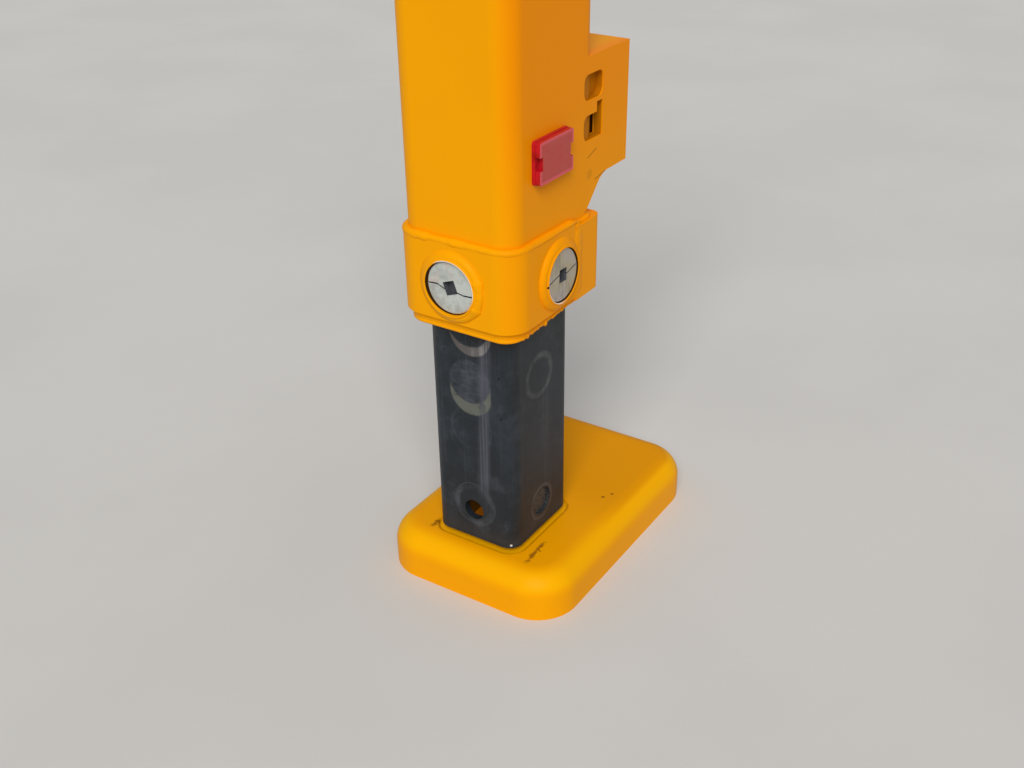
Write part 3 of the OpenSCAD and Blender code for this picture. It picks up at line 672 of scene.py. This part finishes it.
def yellow_enamel():
    """Gloss enamel with a fine orange peel and a faint cloud of dust. Painted shade makes it warmer and
    darker on the housing's rear side and darker on the far part of the foot's top, and a painted highlight
    makes it paler on the foot's rounded edge. It carries the marks of the functions above."""
    finish = Finish("yellow_enamel")
    settings = bpy.context.scene.stabiliser_paint
    x, y, z = finish.millimetres()
    peel = finish.noise(700, 2.0)
    cloud = finish.noise(6, 4.0, 0.6)

    def tinted(*shares):
        """The enamel's colour with each channel times its share."""
        return (*(channel * share for channel, share in zip(settings.yellow, shares)), 1.0)

    base = finish.blend(finish.step(cloud, 0.35, 0.7) * 0.4, tinted(1, 1, 1), tinted(0.95, 0.91, 0.8))
    housing = finish.step(z, 90.0, 110.0)
    # Painted shade: the housing's rear side is warmer and darker
    rear = finish.step(y, -56.0, -80.0) * (0.45 + 0.55 * finish.step(z, 500.0, 690.0))
    base = finish.blend(rear * housing, base, tinted(1.0, 0.77, 0.5))
    base = disc_shade_and_highlights(finish, base, x, y, z)
    base = hollow_shade(finish, base, (x, y, z))
    # Painted highlight: the foot's rounded edge is paler and yellower
    foot_edge_highlight = finish.step(z, 37.0, 51.0) * finish.step(z, 67.0, 61.0)
    base = finish.blend(foot_edge_highlight, base, tinted(1.0, 1.13, 1.0))
    # Painted shade: the far part of the foot's top is darker
    foot_far_shade = finish.step(z, 72.0, 69.0) * finish.step(z, 59.0, 65.0) * finish.step(x, 10.0, 130.0)
    base = finish.blend(foot_far_shade, base, tinted(0.85, 0.82, 1.0))
    scuff = foot_scuff(finish, x, y, z)
    base = finish.blend(scuff * 0.75, base, rgb(118, 66, 14))
    base = rear_shade_marks(finish, base, x, y, z)
    roughness = settings.roughness + 0.1 * (cloud - 0.5) + scuff * 0.3
    normal = finish.bump(peel, 0.05, 0.0006)
    return finish.set(base_color=base, roughness=roughness, specular=0.05, normal=normal)


def worn_black():
    """Worn black paint: the rings and crescents that the wear pads rubbed on, long scratches and dust, with
    painted shade on the rear side and a painted highlight on the leg's near lower corner.
    """
    finish = Finish("worn_black")
    x, y, z = finish.millimetres()
    fine = finish.noise(420, 4.0, 0.6)
    cloud = finish.noise(11, 6.0, 0.65)
    haze = finish.noise(24, 7.0, 0.7)
    blotch = finish.noise(48, 5.0, 0.6)
    streak = finish.noise(1.0, 4.0, 0.65, vector=finish.stretched((420.0, 420.0, 4.0)))
    level = finish.noise(1.0, 4.0, 0.6, vector=finish.stretched((50.0, 50.0, 900.0)))
    base = finish.blend(finish.step(cloud, 0.38, 0.66), rgb(34, 39, 44), rgb(50, 56, 63))
    base = finish.blend(finish.step(haze, 0.5, 0.7) * 0.4, base, rgb(74, 80, 86))
    base = finish.blend(finish.step(streak, 0.58, 0.74) * 0.3, base, rgb(84, 86, 92))

    # The outer side: what the pad rubbed, faint arcs below it and a small ring beside it
    outer = finish.step(x, -70.2, -70.8)
    wobble = (blotch - 0.5) * 5.0
    u, v = y + wobble, z + wobble * 0.7
    upper, lower = (finish.disc(u, v, *mark, 1.5) for mark in PAD_MARKS)
    arcs = finish.ring(u, v, *FAINT_ARCS[0], 3.5) + finish.ring(u, v, *FAINT_ARCS[1], 3.0) * 0.6
    small = finish.ring(u, v, *SMALL_RING, 1.6) * 0.25
    rubbed = upper * (finish.step(haze, 0.36, 0.66) * 0.45 + 0.22 * finish.step(level, 0.45, 0.65))
    rubbed = rubbed + (arcs * 0.2 + small) * finish.step(haze, 0.36, 0.6)
    base = finish.blend((outer * rubbed).least(1.0), base, rgb(88, 92, 101))

    # Long scratches down its middle, and the ring round the access hole
    lines = finish.band(y + z * 0.03, -21.0, -5.0, 5.0) * finish.band(z, 150.0, 372.0, 25.0)
    lines = lines * (0.3 + 0.5 * finish.step(streak, 0.4, 0.62))
    base = finish.blend(outer * lines, base, rgb(86, 87, 98))
    ring = finish.ring(u, v, HOLE_CENTRE, 28.0, 6.0) * finish.step(haze, 0.34, 0.66)
    ring = ring * 0.6 + finish.ring(u, v, HOLE_CENTRE, 32.5, 1.6) * 0.3
    base = finish.blend((outer * ring).least(1.0) * 0.8, base, rgb(86, 92, 99))

    # The crescent that the pad left, and the rusty one under the lip with its scratches
    crescent = lower * (1 - upper) * finish.step(blotch + haze, 0.62, 1.0)
    base = finish.blend(outer * crescent * 0.8, base, rgb(106, 109, 100))
    lip_upper, lip_lower = (finish.disc(u, v, *mark, 1.5) for mark in LIP_MARKS)
    shaving = outer * lip_lower * (1 - lip_upper)
    scratch = shaving * finish.step(streak, 0.42, 0.6) * finish.step(y, 4.0, -18.0)
    base = finish.blend(shaving * (0.25 + 0.6 * haze), base, rgb(112, 108, 106))
    base = finish.blend(shaving * finish.step(fine, 0.54, 0.66) * 0.5, base, rgb(150, 106, 80))
    base = finish.blend(scratch * 0.7, base, rgb(150, 152, 154))
    first_chip, second_chip = (finish.disc(u, v, *mark, 0.8) for mark in CHIPS)
    base = finish.blend(outer * first_chip.most(second_chip), base, rgb(18, 19, 22))

    # The rear side: painted shade darkens it. It carries the pad's ring, a halo and speckles on the pin's
    # end, and a trail between
    base = finish.blend(finish.step(y, -40.0, -62.0) * 0.35, base, rgb(34, 36, 38))
    s, t = x + wobble, z + wobble * 0.7
    ring = finish.ring(s, t, *REAR_PAD_RING, 6.0) * finish.step(haze, 0.34, 0.66)
    halo = finish.ring(s, t, *REAR_HALO, 4.0) * (0.1 + blotch)
    trail = finish.band(x, 2.0, 20.0, 6.0) * finish.band(z, 138.0, 300.0, 30.0)
    trail = trail * finish.step(streak, 0.4, 0.65)
    marks = finish.step(y, -63.2, -63.8) * (ring + halo * 0.7 + trail * 0.35)
    base = finish.blend(marks.least(1.0) * 0.75, base, rgb(92, 93, 94))
    pin = finish.disc(x, z, *PIN_END, 0.5) * finish.step(y, -52.0, -54.0) * finish.step(fine, 0.44, 0.6)
    base = finish.blend(pin * 0.35, base, rgb(118, 110, 102))

    # Dust towards the foot, and a painted highlight on the leg's near lower corner
    base = finish.blend(finish.step(z, 96.0, 70.0) * 0.3, base, rgb(72, 74, 74))
    corner_highlight = finish.disc((x - y) * 0.707, z, (-7.5, 74.0), 1.6, 0.9) * finish.step(x + y, -112.0, -118.0)
    base = finish.blend(corner_highlight, base, rgb(226, 228, 228))

    normal = finish.bump(fine + blotch * 0.6, 0.12, 0.0006)
    return finish.set(base_color=base, roughness=0.46 + 0.2 * (cloud - 0.5), specular=0.22, normal=normal)


def barrel_black():
    """Satin black paint with a film of oil and dust."""
    finish = Finish("barrel_black")
    cloud = finish.noise(18, 5.0, 0.6)
    fine = finish.noise(500, 3.0)
    base = finish.blend(finish.step(cloud, 0.4, 0.7), rgb(34, 35, 38), rgb(58, 57, 54))
    normal = finish.bump(fine, 0.08, 0.0005)
    return finish.set(base_color=base, roughness=0.38 + 0.3 * (cloud - 0.5), specular=0.35, normal=normal)


def plated_discs():
    """Dull plated steel. Painted shade darkens the drive hole and the saw cut, and the bevel is painted near
    white as a highlight.
    """
    finish = Finish("plated_discs")
    x, y, z = finish.millimetres()
    cloud = finish.noise(70, 5.0, 0.6)
    tint = finish.noise(34, 3.0, 0.5, 1.0)
    smear = finish.noise(1.0, 4.0, 0.6, vector=finish.stretched((150.0, 60.0, 34.0), (0.0, 0.35, 0.0)))
    fine = finish.noise(800, 3.0)
    across = abs(x - float(TUBE_CENTRE[0])) - float(TUBE_HALF[0] + COLLAR_T + BUSH_H)
    along = abs(y - float(TUBE_CENTRE[1])) - float(TUBE_HALF[1] + COLLAR_T + BUSH_H)
    by_x = finish.distance(y, z, (0.0, DISC_Z))
    by_y = finish.distance(x, z, (0.0, DISC_Z))
    # Painted shade in the drive hole and the saw cut, below the disc's face
    hole_shade_x = finish.step(across, -4.3, -4.8) * finish.step(by_x, DISC_R - 0.4, DISC_R - 0.6)
    rear = finish.step(y, -60.0, -62.0)
    hole_shade_y = finish.step(along + rear * -2.5, -4.3, -4.8) * finish.step(by_y, DISC_R - 0.4, DISC_R - 0.6)
    # Painted highlight: the bevel is coloured near white
    bevel = finish.band(by_x.least(by_y), DISC_R + 0.1, MOUTH_R, 0.2)
    base = finish.blend(finish.step(cloud, 0.38, 0.62), rgb(197, 203, 197), rgb(172, 177, 171))
    base = finish.blend(finish.step(tint, 0.52, 0.68) * 0.4, base, rgb(212, 190, 178))
    warm = finish.blend(finish.step(tint, 0.42, 0.6), rgb(178, 164, 154), rgb(174, 160, 126))
    warm = finish.blend(finish.step(smear, 0.5, 0.66) * 0.7, warm, rgb(124, 114, 104))
    base = finish.blend(rear * 0.85, base, warm)
    base = finish.blend(bevel, base, rgb(252, 252, 250))
    base = finish.blend(hole_shade_x.most(hole_shade_y), base, rgb(90, 93, 98))
    roughness = 0.42 + 0.2 * (cloud - 0.5)
    normal = finish.bump(fine + cloud, 0.12, 0.0003)
    return finish.set(base_color=base, metallic=0.12, roughness=roughness, specular=0.4, normal=normal)


def bare_steel():
    """Machined steel with fine turning marks and a little rust."""
    finish = Finish("bare_steel")
    fine = finish.noise(1.0, 3.0, vector=finish.stretched((1500.0, 300.0, 1500.0)))
    cloud = finish.noise(60, 5.0, 0.6)
    base = finish.blend(finish.step(cloud, 0.55, 0.75) * 0.5, rgb(150, 150, 150), rgb(112, 84, 62))
    return finish.set(base_color=base, metallic=0.6, roughness=0.42, normal=finish.bump(fine, 0.2, 0.0003))


def hard_chrome():
    """Hard chrome with faint smears of oil."""
    finish = Finish("hard_chrome")
    smear = finish.noise(1.0, 4.0, 0.6, vector=finish.stretched((70.0, 70.0, 6.0)))
    base = finish.blend(finish.step(smear, 0.5, 0.7) * 0.3, rgb(214, 214, 216), rgb(168, 164, 156))
    return finish.set(base_color=base, metallic=1.0, roughness=0.12 + 0.2 * finish.step(smear, 0.45, 0.75))


def pad_nylon():
    """Dark cast nylon with tool marks."""
    finish = Finish("pad_nylon")
    fine = finish.noise(1.0, 3.0, vector=finish.stretched((200.0, 200.0, 900.0)))
    cloud = finish.noise(45, 4.0)
    base = finish.blend(finish.step(cloud, 0.4, 0.7), rgb(48, 48, 50), rgb(66, 65, 64))
    return finish.set(base_color=base, roughness=0.6, normal=finish.bump(fine, 0.2, 0.0004))


def red_reflector():
    """Moulded red plastic: dark clear sides, and a paler face with a plain border round small prisms."""
    finish = Finish("red_reflector")
    x, y, z = finish.millimetres()
    low, high = node_box("reflector")
    centre = (low + high) / 2
    half = (high - low) / 2
    turns = 2 * math.pi / PRISM
    cells = abs((x * turns).sine() * (z * turns).sine())
    cloud = finish.noise(90, 5.0, 0.6)
    edge = (abs(x - float(centre[0])) - float(half[0])).most(abs(z - float(centre[2])) - float(half[2]))
    border = finish.step(edge, -4.6, -4.0)
    face = finish.step(y, float(low[1]) + 0.5, float(low[1]) + 0.1)
    prisms = finish.blend(finish.step(cells, 0.1, 0.7), rgb(208, 74, 64), rgb(178, 54, 46))
    prisms = finish.blend(finish.step(cloud, 0.42, 0.66) * 0.35, prisms, rgb(192, 84, 74))
    panel = finish.blend(border, prisms, rgb(220, 84, 92))
    sides = finish.blend(finish.step(cloud, 0.4, 0.7), rgb(196, 22, 38), rgb(164, 18, 20))
    base = finish.blend(face, sides, panel)
    height = cells * (1 - border) * face
    return finish.set(base_color=base, roughness=0.34, specular=0.3, normal=finish.bump(height, 0.35, 0.0005))


# Studio

# The photograph's camera: its place in metres, its yaw, pitch and roll in radians, its focal length and its
# principal point in pixels, and the photograph's size in pixels
CAMERA_PLACE = (-1.3094, -0.7669, 0.4805)
CAMERA_TURN = (0.546, 0.547, 0.004)
FOCAL = 1180.42
PRINCIPAL = (552.06, 427.68)
PHOTO_SIZE = (1024, 768)
SENSOR = 36

# Radii of the floor's rings in metres, and the number of points in each
FLOOR_RINGS = (0.5, 1.5, 4.0, 9.0, 16.0)
FLOOR_POINTS = 96


def add_camera(scene):
    """A camera that looks along the yaw and pitch, turned by the roll about its own view, with its shift set
    by how far the principal point lies from the photograph's middle."""
    yaw, pitch, roll = CAMERA_TURN
    look = Vector((math.cos(pitch) * math.cos(yaw), math.cos(pitch) * math.sin(yaw), -math.sin(pitch)))
    right = look.cross(Vector((0, 0, 1))).normalized()
    above = right.cross(look)
    turned = math.cos(roll) * right + math.sin(roll) * above
    above = -math.sin(roll) * right + math.cos(roll) * above
    camera = bpy.data.objects.new("photo_camera", bpy.data.cameras.new("photo_camera"))
    scene.collection.objects.link(camera)
    camera.matrix_world = Matrix.Translation(Vector(CAMERA_PLACE)) @ Matrix(
        (turned, above, -look)).transposed().to_4x4()
    width, height = PHOTO_SIZE
    camera.data.sensor_width = SENSOR
    camera.data.lens = FOCAL * SENSOR / width
    camera.data.shift_x = (width / 2 - PRINCIPAL[0]) / width
    camera.data.shift_y = (PRINCIPAL[1] - height / 2) / width
    camera.data.clip_end = 60
    scene.camera = camera


def add_floor(scene, shade):
    """A round floor at the foot's sole: rings of points at the radii r, (r cos a, r sin a), joined by squares
    and closed in the middle by a fan."""
    angle = np.linspace(0, 2 * np.pi, FLOOR_POINTS, endpoint=False)
    radii = np.array(FLOOR_RINGS)[:, None]
    grid = np.stack([
        AXIS[0] + radii * np.cos(angle), AXIS[1] + radii * np.sin(angle),
        np.full((len(radii), FLOOR_POINTS), GROUND)], -1)
    vertices, (squares, centre, _) = skin(grid, False)
    mesh = bpy.data.meshes.new("studio_floor")
    faces = [face[::-1] for block in (squares, centre) for face in block.tolist()]
    mesh.from_pydata(vertices[:-1].tolist(), [], faces)
    floor = bpy.data.objects.new("studio_floor", mesh)
    scene.collection.objects.link(floor)
    finish = Finish("studio_floor")
    grain = finish.noise(260, 6.0, 0.6)
    cloud = finish.noise(1.6, 4.0, 0.55)
    darker = tuple(channel * 0.93 for channel in shade)
    base = finish.blend(finish.step(cloud, 0.35, 0.65) * 0.6, (*shade, 1.0), (*darker, 1.0))
    mesh.materials.append(finish.set(
        base_color=base, roughness=0.9, specular=0.2, normal=finish.bump(grain, 0.1, 0.0005)))
    floor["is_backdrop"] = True


def add_key(scene, strength, angle):
    """The soft key light, from the outer rear side and above."""
    key = bpy.data.objects.new("key_light", bpy.data.lights.new("key_light", "SUN"))
    key.data.energy = strength
    key.data.angle = angle
    key.data.color = (1.0, 0.98, 0.95)
    key.rotation_euler = Vector((0.66, 0.36, -0.66)).to_track_quat("-Z", "Y").to_euler()
    scene.collection.objects.link(key)


def add_world(scene, fill):
    """The light from all around, and the plain colour that the camera sees instead of it."""
    world = bpy.data.worlds.new("studio_world")
    scene.world = world
    world.use_nodes = True
    nodes, links = world.node_tree.nodes, world.node_tree.links
    nodes.clear()
    path = nodes.new("ShaderNodeLightPath")
    seen = nodes.new("ShaderNodeBackground")
    seen.inputs["Color"].default_value = (0.86, 0.87, 0.88, 1)
    around = nodes.new("ShaderNodeBackground")
    around.inputs["Color"].default_value = (0.94, 0.97, 1.0, 1)
    around.inputs["Strength"].default_value = fill
    switch = nodes.new("ShaderNodeMixShader")
    output = nodes.new("ShaderNodeOutputWorld")
    links.new(path.outputs["Is Camera Ray"], switch.inputs[0])
    links.new(around.outputs[0], switch.inputs[1])
    links.new(seen.outputs[0], switch.inputs[2])
    links.new(switch.outputs[0], output.inputs[0])


# Operators


class STABILISER_OT_enamel(bpy.types.Operator):
    """Paints the housing, the collar, the rails and the foot"""

    bl_idname = "stabiliser.enamel"
    bl_label = "Yellow enamel"

    def execute(self, context):
        rails = (f"rail_{level}_{part}" for level in LEVELS for part in ("rear", "front", "flanges"))
        dress(yellow_enamel(), "housing_tube", "collar_outer", "collar_inner", "foot_pad", "foot_lug", *rails)
        return {"FINISHED"}


class STABILISER_OT_leg(bpy.types.Operator):
    """Finishes the sliding leg, the foot's pin and the ram's barrel"""

    bl_idname = "stabiliser.leg"
    bl_label = "Sliding leg"

    def execute(self, context):
        dress(worn_black(), "inner_leg", "foot_pin")
        dress(barrel_black(), "ram_barrel")
        return {"FINISHED"}


class STABILISER_OT_discs(bpy.types.Operator):
    """Finishes the four adjuster discs and the lock valve"""

    bl_idname = "stabiliser.discs"
    bl_label = "Adjuster discs"

    def execute(self, context):
        dress(plated_discs(), "lock_valve", *(f"disc_{side}" for side in SIDES))
        return {"FINISHED"}


class STABILISER_OT_ram(bpy.types.Operator):
    """Finishes the ram's rod, gland and head pin"""

    bl_idname = "stabiliser.ram"
    bl_label = "Ram and pins"

    def execute(self, context):
        dress(bare_steel(), "head_pin", "ram_gland")
        dress(hard_chrome(), "ram_rod")
        return {"FINISHED"}


class STABILISER_OT_pads(bpy.types.Operator):
    """Finishes the eight wear pads"""

    bl_idname = "stabiliser.pads"
    bl_label = "Wear pads"

    def execute(self, context):
        dress(pad_nylon(), *(f"{level}_pad_{side}" for level in LEVELS for side in SIDES))
        return {"FINISHED"}


class STABILISER_OT_reflector(bpy.types.Operator):
    """Finishes the red reflector"""

    bl_idname = "stabiliser.reflector"
    bl_label = "Reflector"

    def execute(self, context):
        dress(red_reflector(), "reflector")
        return {"FINISHED"}


class STABILISER_OT_collar_welds(bpy.types.Operator):
    """Lays the beads over the collar's upper edge, along its seams, round its bushes and along the lip"""

    bl_idname = "stabiliser.collar_welds"
    bl_label = "Collar welds"

    def execute(self, context):
        sizes = context.scene.stabiliser_welds
        add_weld("weld_collar_top", collar_top_bead(sizes))
        add_weld("weld_lip", lip_bead(sizes))
        add_weld("weld_collar_seams", join([seam_bead(side, sizes) for side in (-1, 1)]))
        bushes = [bush_beads(index, direction, sizes) for index, direction in enumerate(SIDES.values())]
        add_weld("weld_bushes", join([surface for pair in bushes for surface in pair]))
        return {"FINISHED"}


class STABILISER_OT_frame_welds(bpy.types.Operator):
    """Lays the beads round the head pin's bosses and between the rails and the housing"""

    bl_idname = "stabiliser.frame_welds"
    bl_label = "Frame welds"

    def execute(self, context):
        rough = context.scene.stabiliser_welds.rough
        parts = []
        for index, direction in enumerate((SIDES["rear"], SIDES["front"])):
            path, out = circle(direction, PIN_Z, BOSS_R, 0.0)
            up = same((*direction, 0), len(path))
            parts.append(bead(path, out, up, 5.0, 5.0, 21 + index, loop=True, rough=rough, round_off=1.2))
        add_weld("weld_bosses", join(parts))
        parts = []
        for index, (low, high) in enumerate(RAILS):
            for height, side in ((low[2], -1), (high[2], 1)):
                path = straight((TUBE_X1, low[1], height), (TUBE_X1, high[1], height), 0.9)
                out, up = same((1, 0, 0), len(path)), same((0, 0, side), len(path))
                parts.append(bead(path, out, up, 6.0, 6.0, 31 + index + side, rough=rough, round_off=1.2))
        add_weld("weld_rails", join(parts))
        return {"FINISHED"}


class STABILISER_OT_slot_shade_plate(bpy.types.Operator):
    """Makes a dark plate behind the slot in the lower rail's rear plate, as painted shade inside the slot"""

    bl_idname = "stabiliser.slot_backing"
    bl_label = "Slot shade plate"

    def execute(self, context):
        back = span("rail_lower_rear", "y")[1]
        x0, x1, z0, z1 = SLOT_SHADE_PLATE
        piece = add_weld("slot_shade_plate", block((x0, back - 0.5, z0), (x1, back + SLOT_SHADE_PLATE_T, z1)))
        piece.data.polygons.foreach_set("use_smooth", np.zeros(len(piece.data.polygons), bool))
        return {"FINISHED"}


class STABILISER_OT_valve_screws(bpy.types.Operator):
    """Makes the four socket head screws that hold the lock valve on the ram's head"""

    bl_idname = "stabiliser.valve_screws"
    bl_label = "Valve screws"

    def execute(self, context):
        steel = bpy.data.materials["bare_steel"]
        low, high = node_box("lock_valve")
        parts = []
        for x in (low[0] + 7, high[0] - 7):
            for y in (low[1] + 7, high[1] - 7):
                vertices, faces = screw_head(5.0, 5.0)
                parts.append((at(vertices + [x, y, high[2]]), faces))
        add_piece("valve_screws", *join(parts), steel, "housing", "pin_steel")
        return {"FINISHED"}


class STABILISER_OT_studio(bpy.types.Operator):
    """Sets the camera at the photograph's viewing angle, a pale floor, a soft key and a plain surround"""

    bl_idname = "stabiliser.studio"
    bl_label = "Studio"

    def execute(self, context):
        scene = context.scene
        sizes = scene.stabiliser_studio
        add_camera(scene)
        add_floor(scene, tuple(sizes.floor))
        add_key(scene, sizes.key, sizes.key_angle)
        add_world(scene, sizes.fill)
        scene.view_settings.view_transform = "Standard"
        return {"FINISHED"}


class STABILISER_PT_panel(bpy.types.Panel):
    """Lists the pieces in the order in which they are made"""

    bl_label = "Stabiliser leg"
    bl_idname = "STABILISER_PT_panel"
    bl_space_type = "VIEW_3D"
    bl_region_type = "UI"
    bl_category = "Stabiliser"

    def draw(self, context):
        scene = context.scene
        for group in (scene.stabiliser_paint, scene.stabiliser_welds, scene.stabiliser_studio):
            box = self.layout.box()
            for name in group.bl_rna.properties.keys():
                if name not in ("rna_type", "name"):
                    box.prop(group, name)
        for operator in OPERATORS:
            self.layout.operator(operator.bl_idname)


OPERATORS = (
    STABILISER_OT_enamel, STABILISER_OT_leg, STABILISER_OT_discs, STABILISER_OT_ram, STABILISER_OT_pads,
    STABILISER_OT_reflector, STABILISER_OT_collar_welds, STABILISER_OT_frame_welds,
    STABILISER_OT_slot_shade_plate, STABILISER_OT_valve_screws, STABILISER_OT_studio,
)
GROUPS = {"stabiliser_paint": PaintSizes, "stabiliser_welds": WeldSizes, "stabiliser_studio": StudioSizes}


def register():
    for group in GROUPS.values():
        bpy.utils.register_class(group)
    for operator in OPERATORS:
        bpy.utils.register_class(operator)
    bpy.utils.register_class(STABILISER_PT_panel)
    for name, group in GROUPS.items():
        setattr(bpy.types.Scene, name, PointerProperty(type=group))


def unregister():
    for name in GROUPS:
        delattr(bpy.types.Scene, name)
    bpy.utils.unregister_class(STABILISER_PT_panel)
    for kind in (*reversed(OPERATORS), *GROUPS.values()):
        bpy.utils.unregister_class(kind)


def corners():
    return [list(map(float, corner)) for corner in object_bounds()]


def main():
    """Registers the add-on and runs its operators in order."""
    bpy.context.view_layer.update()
    register()
    for operator in OPERATORS:
        group, name = operator.bl_idname.split(".")
        getattr(getattr(bpy.ops, group), name)()


if __name__ == "__main__":
    main()
